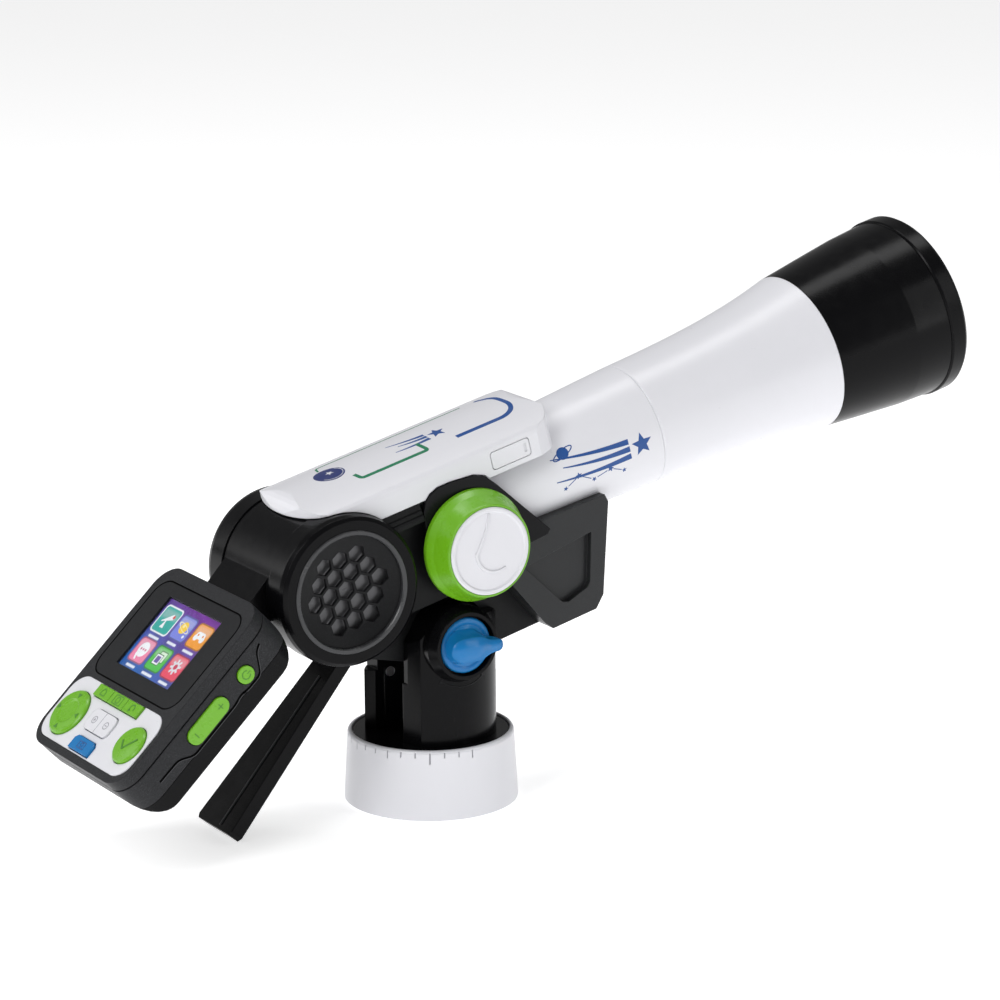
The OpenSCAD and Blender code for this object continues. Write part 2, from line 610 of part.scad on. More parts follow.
module key_openings() {
    at_dpad() dpad_outline(key_gap);
    at_ok() ok_outline(key_gap);
    bar_key(-bar_key_half, bar_key_half, key_gap);
    white_outline(key_gap);
    blue_outline(key_gap);
}
module keypad_plate() color("white") in_display() translate([0, 0, -0.4]) linear_extrude(1.8)
difference() {
    plate_outline(0);
    key_openings();
}
module key_solid(top) color("yellowgreen") in_display()
    translate([0, 0, key_base]) linear_extrude(top - key_base) children();
module dpad() color("yellowgreen") in_display() at_dpad() rotate_extrude()
    polygon([[0, key_base], [11.4, key_base], [11.4, 2.2], [10.6, 2.9], [6.5, 3.1], [5.5, 2.7], [0, 2.6]]);
module ok_key() color("yellowgreen") in_display() at_ok() rotate_extrude()
    polygon([[0, key_base], [9.2, key_base], [9.2, 2], [8.5, 2.7], [4, 3], [0, 3.1]]);
module key_left() key_solid(2.4) bar_key(7.2, bar_key_half, 0);
module key_middle() key_solid(2.4) bar_key(-6.8, 6.8, 0);
module key_right() key_solid(2.4) bar_key(-bar_key_half, -7.2, 0);
module white_key() color("white") in_display()
    translate([0, 0, key_base]) linear_extrude(2.2 - key_base) white_outline(0);
module blue_key() color("dodgerblue") in_display()
    translate([0, 0, key_base]) linear_extrude(2.4 - key_base) blue_outline(0);
module power_button() color("yellowgreen") in_display() on_side_wall()
    translate([6.3, 0, button_z]) bar_y(4, 0, 5);
module volume_rocker() color("yellowgreen") in_display() on_side_wall() intersection() {
    pill(0);
    box(-40, 0, 0, 5, -30, 0);
}

base_ring();
base_plate();
tripod_insert();
base_foot();
base_weight();
base_screws();
turntable();
pan_bolt();
fork_arm_near();
fork_arm_far();
fork_covers();
fork_screws();
tilt_bolt();
friction_washers();
tilt_lock_knob();
chassis_near();
chassis_far();
side_wings();
side_bands();
side_fins();
top_cover();
port_cover();
usb_port();
tube_rear();
tube_front();
lens_hood();
hood_rim();
objective_lens();
lens_retainer();
camera_carriage();
main_board();
batteries();
battery_door();
speaker_cap();
speaker_trim();
speaker_grille();
speaker_driver();
far_cap();
handle();
focus_shaft();
focus_rim();
focus_cap();
hinge_barrel();
display_rear();
display_front();
screen_bezel();
screen_glass();
lcd_panel();
display_board();
keypad_plate();
dpad();
ok_key();
key_left();
key_middle();
key_right();
white_key();
blue_key();
power_button();
volume_rocker();
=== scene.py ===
import json
import math
import bpy
import bmesh
import numpy as np
from mathutils import Matrix, Vector


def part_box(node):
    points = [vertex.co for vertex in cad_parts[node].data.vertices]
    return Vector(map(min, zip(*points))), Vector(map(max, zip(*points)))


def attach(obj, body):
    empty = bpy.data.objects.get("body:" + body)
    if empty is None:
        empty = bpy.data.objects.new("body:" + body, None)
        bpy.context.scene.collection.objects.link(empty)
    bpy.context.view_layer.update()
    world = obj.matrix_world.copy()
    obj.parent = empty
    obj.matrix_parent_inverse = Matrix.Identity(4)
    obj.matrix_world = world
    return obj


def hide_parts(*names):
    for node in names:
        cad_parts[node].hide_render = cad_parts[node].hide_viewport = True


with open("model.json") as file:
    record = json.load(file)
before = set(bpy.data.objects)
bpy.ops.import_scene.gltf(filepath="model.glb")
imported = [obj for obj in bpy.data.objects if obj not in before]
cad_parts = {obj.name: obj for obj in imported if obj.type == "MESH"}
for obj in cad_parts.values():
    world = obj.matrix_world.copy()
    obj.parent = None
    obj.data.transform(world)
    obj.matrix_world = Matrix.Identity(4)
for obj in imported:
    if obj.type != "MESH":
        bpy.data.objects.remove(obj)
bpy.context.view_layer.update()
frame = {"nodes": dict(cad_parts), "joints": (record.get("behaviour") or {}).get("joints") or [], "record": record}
mm = 0.001

# the frame's own axes, read from its joints
joints = {j["name"]: j for j in frame["joints"]}


def unit(vector):
    vector = np.array(vector, float)
    return vector / np.linalg.norm(vector)


def centreOf(node):
    low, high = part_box(node)
    return np.array((low + high) / 2)


across = np.array([0.0, 1.0, 0.0])
pivot = np.array(joints["tilt"]["pos_m"])
alongTube = -unit(joints["focus_travel"]["axis"])
offTube = np.cross(alongTube, across)
faceOut = -unit(joints["dpad_press"]["axis"])
faceUp = np.cross(across, faceOut)
knobCentre = np.array(joints["focus_turn"]["pos_m"])
faceCentre = centreOf("screen_glass") + 0.225 * mm * faceOut
# sizes in millimetres that the marks are laid on
form = {"tubeAxis": 52.5, "tubeSeam": 123.3, "tubeTaper": 0.045, "tubeRound": 28.0, "coverTop": 88.5,
        "coverFall": 0.007, "capStep": 0.6, "armRadius": 29.8, "baseRadius": 39.6, "baseLean": 1.7,
        "baseFoot": 0.8, "baseWall": 30.5, "displayDeep": 27}


# surfaces that marks are laid on: each turns (u, v, height) in millimetres into points in metres
def col(values):
    return np.asarray(values, float)[:, None] * mm


def onFace(u, v, h):
    # display front: u runs up it, v across it, h off it
    return faceCentre + col(u) * faceUp + col(v) * across + col(h) * faceOut


def onDisplaySide(u, v, h):
    # near side wall of the display: u runs up it, v towards its front, h out of it
    half = -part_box("display_front")[0].y / mm
    return faceCentre + col(u) * faceUp + col(v) * faceOut - col(half + h) * across


def onDisplayBack(u, v, h):
    # back of the display, 27 mm behind its front: h points away from the front
    return faceCentre + col(u) * faceUp + col(v) * across - col(form["displayDeep"] + h) * faceOut


def onTube(u, v, h):
    # cone about the tube's axis: u along it, v round it as arc length from its near side
    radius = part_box("tube_rear")[1].y / mm - form["tubeTaper"] * (form["tubeSeam"] - u) + h
    angle = v / form["tubeRound"]
    return (pivot + col(u) * alongTube - col(radius * np.cos(angle)) * across
            + col(form["tubeAxis"] + radius * np.sin(angle)) * offTube)


def onCover(u, v, h):
    # crown of the white cover: height falls with the square of the distance from its middle
    height = form["coverTop"] - form["coverFall"] * v ** 2 + h
    return pivot + col(u) * alongTube + col(v) * across + col(height) * offTube


def onKnob(u, v, h):
    # flat end of the focus knob, seen along +Y
    front = -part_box("focus_cap")[0].y / mm - form["capStep"]
    return knobCentre * [1, 0, 1] + col(u) * alongTube + col(v) * offTube - col(front + h) * across


def onArm(u, v, h):
    # round outer wall of the near fork arm: u is arc length from its nearest line, v the height
    radius = form["armRadius"] + h
    angle = u / form["armRadius"]
    return col(radius * np.sin(angle)) * [1, 0, 0] - col(radius * np.cos(angle)) * across + col(v) * [0,
                                                                                                      0, 1]


def onBase(u, v, h):
    # leaning wall of the base ring: u is its angle in degrees, v the height
    radius = form["baseRadius"] - form["baseLean"] * (v - form["baseFoot"]) / form["baseWall"] + h
    angle = np.radians(u)
    return col(radius * np.cos(angle)) * [1, 0, 0] + col(radius * np.sin(angle)) * across + col(v) * [0,
                                                                                                      0, 1]


def patch(surface, centre, edge, high, low=-0.3, turn=0.0, steps=48, rings=3):
    # a plate whose outline is a distance from its centre for each angle:
    # rings go from the hidden pole out to the edge, up its wall and back in to the top pole
    angle = np.linspace(0, 2 * math.pi, steps, endpoint=False)
    reach = edge(angle) * np.ones(steps)
    share = np.concatenate([[1.0], np.linspace(1, 0, rings + 1)[:-1]])
    height = np.concatenate([[low], np.full(rings, high)])
    u = centre[0] + np.outer(share, reach * np.cos(angle + turn)).ravel()
    v = centre[1] + np.outer(share, reach * np.sin(angle + turn)).ravel()
    h = np.repeat(height, steps)
    u, v, h = np.append(u, [centre[0]] * 2), np.append(v, [centre[1]] * 2), np.append(h, [low, high])
    ring = np.arange(steps)
    after = (ring + 1) % steps
    faces = [np.stack([k * steps + ring, k * steps + after, (k + 1) * steps + after,
                       (k + 1) * steps + ring], 1)
             for k in range(rings)]
    poles = [np.stack([after, ring, np.full(steps, len(u) - 2)], 1),
             np.stack([rings * steps + ring, rings * steps + after, np.full(steps, len(u) - 1)], 1)]
    return surface(u, v, h), [face.tolist() for block in faces + poles for face in block]


def ribbon(surface, path, width, high, low=-0.3, closed=False):
    # a strip with a four-sided section, carried along a path of (u, v) points
    path = np.asarray(path, float)
    count = len(path)
    heading = (np.roll(path, -1, 0) - np.roll(path, 1, 0)) if closed else np.gradient(path, axis=0)
    heading /= np.linalg.norm(heading, axis=1)[:, None]
    side = np.stack([-heading[:, 1], heading[:, 0]], 1) * np.reshape(width, (-1, 1)) / 2
    edges = np.stack([path - side, path - side, path + side, path + side], 1).reshape(-1, 2)
    h = np.tile([low, high, high, low], count)
    first = np.arange(count if closed else count - 1)[:, None] * 4
    corner = np.arange(4)
    turned = (corner + 1) % 4
    quads = np.stack([first + corner, first + turned, (first + 4) % (4 * count) + turned,
                      (first + 4) % (4 * count) + corner], 2).reshape(-1, 4).tolist()
    if not closed:
        quads += [[3, 2, 1, 0], [4 * count - 4, 4 * count - 3, 4 * count - 2, 4 * count - 1]]
    return surface(edges[:, 0], edges[:, 1], h), quads


def arc(centre, radius, start, end, steps=24):
    angle = np.radians(np.linspace(start, end, steps))
    return np.stack([centre[0] + radius * np.cos(angle), centre[1] + radius * np.sin(angle)], 1)


def route(points, radius=2.0, step=1.0):
    # a line through the points whose corners are rounded by a curve that starts and ends radius away from
    # each
    points = [np.array(p, float) for p in points]
    pieces, here = [], points[0]
    for before, corner, after in zip(points, points[1:], points[2:]):
        near = corner + unit(before - corner) * radius
        far = corner + unit(after - corner) * radius
        share = np.linspace(0, 1, 9)[:, None]
        count = max(2, int(np.linalg.norm(near - here) / step))
        pieces.append(here + (near - here) * np.linspace(0, 1, count, endpoint=False)[:, None])
        pieces.append((near * (1 - share) ** 2 + 2 * corner * share * (1 - share) + far * share ** 2)[:-1])
        here = far
    count = max(2, int(np.linalg.norm(points[-1] - here) / step))
    pieces.append(here + (points[-1] - here) * np.linspace(0, 1, count)[:, None])
    return np.concatenate(pieces)


# outlines for patch, as a distance for each angle
def disc(radius):
    return lambda angle: radius + 0 * angle


def star(radius, inner=0.45, points=5):
    # straight-sided star: the edge between a tip and a notch is a straight line in polar form
    half = math.pi / points

    def edge(angle):
        turn = np.abs((angle + half) % (2 * half) - half)
        tip, notch = radius, radius * inner
        return tip * notch * math.sin(half) / (tip * np.sin(turn) + notch * np.sin(half - turn))
    return edge


def plate(halfU, halfV, power=5.0):
    # rounded rectangle as a superellipse
    return lambda angle: (np.abs(np.cos(angle) / halfU) ** power
                          + np.abs(np.sin(angle) / halfV) ** power) ** (-1 / power)


def arrow(radius):
    # triangle with its tip at angle 0
    third = math.pi / 3
    return lambda angle: radius * 0.5 / np.cos((angle + math.pi) % (2 * third) - third)


def makePiece(name, shapes, material, body, smooth=False):
    vertices = np.concatenate([points for points, faces in shapes])
    starts = np.cumsum([0] + [len(points) for points, faces in shapes])
    faces = [[start + i for i in face] for start, (points, made) in zip(starts, shapes) for face in made]
    mesh = bpy.data.meshes.new(name)
    mesh.from_pydata(vertices.tolist(), [], faces)
    working = bmesh.new()
    working.from_mesh(mesh)
    bmesh.ops.recalc_face_normals(working, faces=working.faces)
    working.to_mesh(mesh)
    working.free()
    mesh.materials.append(material)
    mesh.polygons.foreach_set("use_smooth", np.full(len(mesh.polygons), smooth))
    mesh.update()
    piece = bpy.data.objects.new(name, mesh)
    bpy.context.scene.collection.objects.link(piece)
    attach(piece, body)
    return piece


def socketsFor(group, inputs, outputs):
    for name, kind, value in inputs:
        made = group.interface.new_socket(name=name, in_out="INPUT", socket_type="NodeSocket" + kind)
        if value is not None:
            made.default_value = value
    for name, kind in outputs:
        group.interface.new_socket(name=name, in_out="OUTPUT", socket_type="NodeSocket" + kind)


class Nodes:
    # short way to add nodes and wires to one tree
    def __init__(self, tree):
        self.tree = tree

    def add(self, kind, settings=None, **inputs):
        node = self.tree.nodes.new("ShaderNode" + kind)
        for key, value in (settings or {}).items():
            setattr(node, key, value)
        for key, value in inputs.items():
            numbered = key[0] == "i" and key[1:].isdigit()
            socket = node.inputs[int(key[1:]) if numbered else key.replace("_", " ")]
            if isinstance(value, bpy.types.NodeSocket):
                self.tree.links.new(value, socket)
            else:
                socket.default_value = value
        return node

    def math(self, operation, first, second=0.0, clamp=False):
        return self.add("Math", {"operation": operation, "use_clamp": clamp}, i0=first,
                        i1=second).outputs[0]

    def mix(self, share, first, second, blend="MIX"):
        node = self.add("Mix", {"data_type": "RGBA", "blend_type": blend})
        for index, value in ((0, share), (6, first), (7, second)):
            if isinstance(value, bpy.types.NodeSocket):
                self.tree.links.new(value, node.inputs[index])
            else:
                node.inputs[index].default_value = value
        return node.outputs[2]

    def ramp(self, value, low, high, start=0.0, end=1.0):
        return self.add("MapRange", {"clamp": True}, Value=value, From_Min=low, From_Max=high,
                        To_Min=start, To_Max=end).outputs[0]


def buildMoulding():
    # what handling and moulding leave on a plastic: cloudy tone, fine grain, hairline rubs and settled dust
    group = bpy.data.node_groups.new("moulding", "ShaderNodeTree")
    socketsFor(group,
               [("Position", "Vector", None), ("Tone", "Color", (0.8, 0.8, 0.8, 1)),
                ("Cloud", "Float", 0.06),
                ("Grain Size", "Float", 0.4), ("Grain", "Float", 0.3), ("Speckle", "Float", 0.0),
                ("Roughness", "Float", 0.3), ("Spread", "Float", 0.1), ("Rubs", "Float", 0.2),
                ("Dust", "Float", 0.1)],
               [("Color", "Color"), ("Roughness", "Float"), ("Height", "Float")])
    made = Nodes(group)
    given = group.nodes.new("NodeGroupInput").outputs
    cloud = made.add("TexNoise", None, Vector=given["Position"], Scale=38.0, Detail=3.0,
                     Roughness=0.55).outputs[0]
    blotch = made.add("TexNoise", None, Vector=given["Position"], Scale=190.0, Detail=2.0,
                      Roughness=0.5).outputs[0]
    perMetre = made.math("DIVIDE", 1000.0, given["Grain Size"])
    fine = made.add("TexNoise", None, Vector=given["Position"], Scale=perMetre, Detail=2.0,
                    Roughness=0.6).outputs[0]
    # rubs: a stretched pattern read only where it is close to its middle value
    stretched = made.add("Mapping", None, Vector=given["Position"], Rotation=(0.5, 0.9, 0.4),
                         Scale=(40, 900, 420)).outputs[0]
    streak = made.add("TexNoise", None, Vector=stretched, Scale=1.0, Detail=2.0, Roughness=0.5).outputs[0]
    rub = made.ramp(made.math("ABSOLUTE", made.math("SUBTRACT", streak, 0.5)), 0.0, 0.012, 1.0, 0.0)
    rub = made.math("MULTIPLY", rub, made.ramp(cloud, 0.45, 0.62))
    rub = made.math("MULTIPLY", rub, given["Rubs"])
    # dust lies on faces that look up
    upward = made.add("SeparateXYZ", None, Vector=made.add("NewGeometry").outputs["Normal"]).outputs[2]
    dust = made.math("MULTIPLY", made.ramp(upward, 0.35, 1.0), made.ramp(blotch, 0.42, 0.75))
    dust = made.math("MULTIPLY", dust, given["Dust"])
    cloudy = made.math("MULTIPLY", made.math("SUBTRACT", cloud, 0.5), given["Cloud"])
    tone = made.add("HueSaturation", None, Color=given["Tone"],
                    Value=made.math("ADD", cloudy, 1.0)).outputs[0]
    speck = made.math("MULTIPLY", made.ramp(fine, 0.52, 0.66), given["Speckle"])
    tone = made.mix(speck, tone, (0.42, 0.43, 0.46, 1))
    tone = made.mix(dust, tone, (0.62, 0.61, 0.58, 1))
    rough = made.math("ADD", given["Roughness"], made.math("MULTIPLY", made.math("SUBTRACT", blotch, 0.5),
                                                           given["Spread"]))
    rough = made.math("ADD", rough, made.math("MULTIPLY", rub, 0.25))
    rough = made.math("ADD", rough, made.math("MULTIPLY", dust, 0.5), clamp=True)
    height = made.math("ADD", made.math("MULTIPLY", fine, given["Grain"]), made.math("MULTIPLY", rub, -0.4))
    out = group.nodes.new("NodeGroupOutput").inputs
    for name, value in (("Color", tone), ("Roughness", rough), ("Height", height)):
        group.links.new(value, out[name])
    return group


moulding = buildMoulding()


def plastic(name, tone, roughness=0.3, grainSize=0.5, grain=0.3, speckle=0.0, spread=0.1, rubs=0.2,
            dust=0.05,
            cloud=0.08, edge=0.4, coat=0.0, specular=0.5, metal=0.0, relief=0.02):
    # a moulded or turned surface: the moulding group colours it, and its sharp edges are softened by edge
    # millimetres
    material = bpy.data.materials.new(name)
    material.use_nodes = True
    made = Nodes(material.node_tree)
    shader = material.node_tree.nodes["Principled BSDF"]
    place = made.add("TexCoord").outputs["Object"]
    finish = made.add("Group", {"node_tree": moulding}, Position=place, Tone=(*tone, 1), Cloud=cloud,
                      Grain_Size=grainSize, Grain=grain, Speckle=speckle, Roughness=roughness,
                      Spread=spread,
                      Rubs=rubs, Dust=dust)
    bump = made.add("Bump", None, Height=finish.outputs["Height"], Strength=0.6, Distance=relief * mm)
    if edge:
        softened = made.add("Bevel", {"samples": 6}, Radius=edge * mm).outputs[0]
        material.node_tree.links.new(softened, bump.inputs["Normal"])
    for socket, value in (("Base Color", finish.outputs["Color"]),
                          ("Roughness", finish.outputs["Roughness"]),
                          ("Normal", bump.outputs[0])):
        material.node_tree.links.new(value, shader.inputs[socket])
    shader.inputs["Metallic"].default_value = metal
    shader.inputs["Coat Weight"].default_value = coat
    shader.inputs["Coat Roughness"].default_value = 0.12
    shader.inputs["Specular IOR Level"].default_value = specular
    return material


finishes = {
    "white_plastic": plastic("whiteShell", (0.80, 0.80, 0.84), 0.30, 0.6, 0.25, edge=0.7, dust=0.02,
                             cloud=0.03),
    "black_plastic": plastic("blackShell", (0.003, 0.003, 0.0036), 0.22, 0.5, 0.12, edge=0.6, rubs=0.15,
                             dust=0.004,
                             specular=0.11),
    "dark_plastic": plastic("darkGrained", (0.007, 0.0072, 0.008), 0.40, 0.32, 0.8, edge=0.5,
                            speckle=0.02, relief=0.04,
                            dust=0.006, specular=0.14),
    "grey_trim": plastic("greyTrim", (0.030, 0.031, 0.034), 0.25, 0.5, 0.3, edge=0.3),
    "green_plastic": plastic("limeShell", (0.165, 0.47, 0.012), 0.28, 0.5, 0.25, edge=0.6, dust=0.02),
    "blue_plastic": plastic("blueShell", (0.008, 0.19, 0.50), 0.24, 0.5, 0.2, edge=0.6, dust=0.01,
                            specular=0.35),
    "steel": plastic("platedSteel", (0.55, 0.55, 0.56), 0.32, 0.3, 0.5, metal=1.0, edge=0.2, dust=0.02),
    "brass": plastic("turnedBrass", (0.72, 0.50, 0.20), 0.30, 0.3, 0.5, metal=1.0, edge=0.2),
    "rubber": plastic("footRubber", (0.02, 0.02, 0.02), 0.75, 0.5, 1.0, edge=0.3, relief=0.06, dust=0.2),
    "nylon": plastic("nylonWasher", (0.72, 0.70, 0.62), 0.45, 0.6, 0.3, edge=0.1),
    "board": plastic("solderMask", (0.01, 0.11, 0.045), 0.35, 0.9, 0.6, edge=0.1, cloud=0.3),
    "battery_wrap": plastic("batterySleeve", (0.55, 0.20, 0.02), 0.25, 0.5, 0.2, edge=0.3, metal=0.6),
    "speaker_cone": plastic("paperCone", (0.10, 0.10, 0.105), 0.35, 0.35, 0.6, edge=0.3, relief=0.08,
                            metal=0.5),
    "lcd": plastic("panelFrame", (0.02, 0.02, 0.025), 0.3, 0.5, 0.2, edge=0.1),
}
displayFront = plastic("darkSpeckled", (0.014, 0.0145, 0.0165), 0.42, 0.26, 1.0, edge=0.6, speckle=0.10,
                       relief=0.05,
                       dust=0.006, specular=0.2)
wingShell = plastic("wingShell", (0.005, 0.005, 0.006), 0.20, 0.5, 0.12, edge=0.5, rubs=0.15, dust=0.004,
                    specular=0.14)
finShell = plastic("finGrained", (0.018, 0.019, 0.0205), 0.36, 0.3, 1.0, edge=0.6, speckle=0.04,
                   relief=0.05, dust=0.006,
                   specular=0.3)
bezelFinish = plastic("bezelSatin", (0.010, 0.0105, 0.012), 0.38, 0.3, 0.6, edge=0.4, speckle=0.03,
                      dust=0.006, specular=0.2)
backShell = plastic("displayBack", (0.0035, 0.0035, 0.004), 0.26, 0.4, 0.2, edge=1.2, rubs=0.2, dust=0.004,
                    specular=0.12)
printBlue = plastic("blueInk", (0.008, 0.075, 0.30), 0.35, 0.3, 0.2, edge=0, cloud=0.2)
printGreen = plastic("greenInk", (0.005, 0.20, 0.09), 0.35, 0.3, 0.2, edge=0, cloud=0.2)
printNavy = plastic("navyInk", (0.012, 0.028, 0.16), 0.3, 0.3, 0.2, edge=0, cloud=0.2)
printWhite = plastic("whiteInk", (0.75, 0.76, 0.80), 0.35, 0.3, 0.2, edge=0, cloud=0.1)
keyMark = plastic("darkGreenInk", (0.06, 0.24, 0.01), 0.4, 0.3, 0.2, edge=0, cloud=0.2)
blueMark = plastic("darkBlueInk", (0.006, 0.08, 0.28), 0.4, 0.3, 0.2, edge=0, cloud=0.2)
greyMark = plastic("greyInk", (0.34, 0.34, 0.38), 0.45, 0.3, 0.2, edge=0, cloud=0.2)
seamBlack = plastic("seamShadow", (0.0006, 0.0006, 0.0006), 0.7, 0.3, 0.2, edge=0, cloud=0.2,
                    specular=0.02, dust=0)
# painted highlight: a lighter tone for a thin strip beside the side seam, standing in for light caught on the
# seam's ridge
seamPaintedHighlight = plastic("paintedSeamHighlight", (0.035, 0.036, 0.04), 0.35, 0.3, 0.2, edge=0, cloud=0.2, dust=0)


def glass(name, tint, roughness, ior, specular, coat):
    material = bpy.data.materials.new(name)
    material.use_nodes = True
    made = Nodes(material.node_tree)
    shader = material.node_tree.nodes["Principled BSDF"]
    place = made.add("TexCoord").outputs["Object"]
    smear = made.add("TexNoise", None, Vector=place, Scale=90.0, Detail=4.0).outputs[0]
    shine = made.ramp(smear, 0.4, 0.75, roughness, roughness + 0.05)
    tone = made.mix(made.ramp(smear, 0.3, 0.8), (*tint, 1), (*[c * 0.93 for c in tint], 1))
    material.node_tree.links.new(tone, shader.inputs["Base Color"])
    material.node_tree.links.new(shine, shader.inputs["Roughness"])
    shader.inputs["Transmission Weight"].default_value = 1.0
    shader.inputs["IOR"].default_value = ior
    shader.inputs["Specular IOR Level"].default_value = specular
    shader.inputs["Coat Weight"].default_value = coat
    return material


finishes["optical_glass"] = glass("lensGlass", (0.90, 0.97, 1.0), 0.01, 1.52, 0.5, 0.3)
finishes["screen_cover"] = glass("screenWindow", (0.97, 0.98, 1.0), 0.02, 1.3, 0.25, 0.0)

slotOf = {part["node"]: part["material_slot"] for part in frame["record"]["subparts"]}
special = {"display_front": displayFront, "screen_bezel": bezelFinish, "display_rear": backShell,
           "side_wings": wingShell, "side_fins": finShell}
for node, piece in frame["nodes"].items():
    piece.data.materials.clear()
    piece.data.materials.append(special.get(node, finishes[slotOf[node]]))
print("finishes set on", len(frame["nodes"]), "nodes")

# graphics on the white cover
coverArt = {"line": 1.9, "nearLine": -15.0, "blueStart": 28.0, "blueFront": 60.0, "greenStart": -25.0,
            "greenEnd": 12.6, "badge": (-30.0, -0.5), "badgeRadius": 7.2, "ink": 0.05}


def comet(surface, head, size, tailTo, lift, bendBy=3.0):
    # a star with three tails that fan back from it
    shapes = [patch(surface, head, star(size), lift, turn=0.3, steps=60, rings=3)]
    for k, spread in enumerate((-0.85, 0.0, 0.85)):
        share = np.linspace(0, 1, 30)
        u = head[0] - size * 1.2 + (tailTo + k % 2 * size * 0.9 - head[0] + size * 1.2) * share
        v = head[1] + spread * size * (0.75 + 0.5 * share) + bendBy * share ** 2
        shapes.append(ribbon(surface, np.stack([u, v], 1), (1.15 - 0.95 * share) * size * 0.42, lift))
    return shapes


ink = coverArt["ink"]
near = coverArt["nearLine"]
width = coverArt["line"]
front = coverArt["blueFront"]
blueLines = [ribbon(onCover, route([(coverArt["blueStart"], near), (front - 4, near), (front + 2, near + 6),
                                    (front + 2, 6 - near - 12), (front - 4, -near)], 5.0), width * 1.2,
                    ink)]
blueLines += comet(onCover, (24.0, -4.5), 4.3, 1.0, ink, 2.0)
makePiece("coverBlueLines", blueLines, printBlue, "telescope")
greenLines = [ribbon(onCover, route([(coverArt["greenStart"] + 2, near + 4.5),
                                     (coverArt["greenStart"] + 3, near - 0.5),
                                     (coverArt["greenEnd"], near - 0.5),
                                     (coverArt["greenEnd"] - 1, near + 8)], 1.6),
                     width, ink),
              ribbon(onCover, route([(coverArt["greenStart"] - 6, 8.0), (coverArt["greenStart"] - 4, -near),
                                     (front - 12, -near)], 3.0), width * 0.5, ink)]
makePiece("coverGreenLines", greenLines, printGreen, "telescope")
badge = coverArt["badge"]
makePiece("coverBadge", [patch(onCover, badge, disc(coverArt["badgeRadius"]), ink * 1.5, rings=5)],
          printNavy,
          "telescope")
badgeMarks = [patch(onCover, (badge[0] + 0.6, badge[1] + 0.8), star(2.1), ink * 2.6, turn=0.6, steps=60),
              ribbon(onCover, arc(badge, 6.3, 220, 400, 40), 0.3, ink * 2.6)]
makePiece("coverBadgeMarks", badgeMarks, printWhite, "telescope")

# graphic on the near side of the tube
tubeArt = {"starAt": (112.0, 1.0), "starSize": 5.4, "tailTo": 66.0, "ink": 0.06}
constellation = [(70.0, -5.5), (77.5, -1.6), (85.0, -6.4), (94.0, -4.4), (101.0, -8.0)]
tubeShapes = comet(onTube, tubeArt["starAt"], tubeArt["starSize"], tubeArt["tailTo"], tubeArt["ink"], 4.0)
tubeShapes += [patch(onTube, spot, star(1.3 + 0.5 * (k % 2)), tubeArt["ink"], turn=0.4 * k, steps=40,
                     rings=2)
               for k, spot in enumerate(constellation)]
tubeShapes += [ribbon(onTube, np.linspace(np.array(a) * 0.8 + np.array(b) * 0.2,
                                          np.array(a) * 0.2 + np.array(b) * 0.8, 8), 0.4,
                      tubeArt["ink"]) for a, b in zip(constellation, constellation[1:])]
tubeShapes += [patch(onTube, (73.0, 11.5), disc(3.0), tubeArt["ink"], rings=3),
               ribbon(onTube, np.stack([73.0 + 5.4 * np.cos(np.linspace(0, 2 * math.pi, 40,
                                                                        endpoint=False)),
                                        11.5 + 1.7 * np.sin(np.linspace(0, 2 * math.pi, 40, endpoint=False))
                                        + 1.6 * np.cos(np.linspace(0, 2 * math.pi, 40, endpoint=False))],
                                       1), 0.5,
                      tubeArt["ink"] * 1.5, closed=True)]
makePiece("tubeComet", tubeShapes, printBlue, "telescope")
print("graphics laid on the cover and the tube")

# picture on the screen, painted on a fine grid of coloured points
screen = {"tall": 36.6, "wide": 48.8, "cell": 0.2, "behind": 0.575, "glow": 0.95}


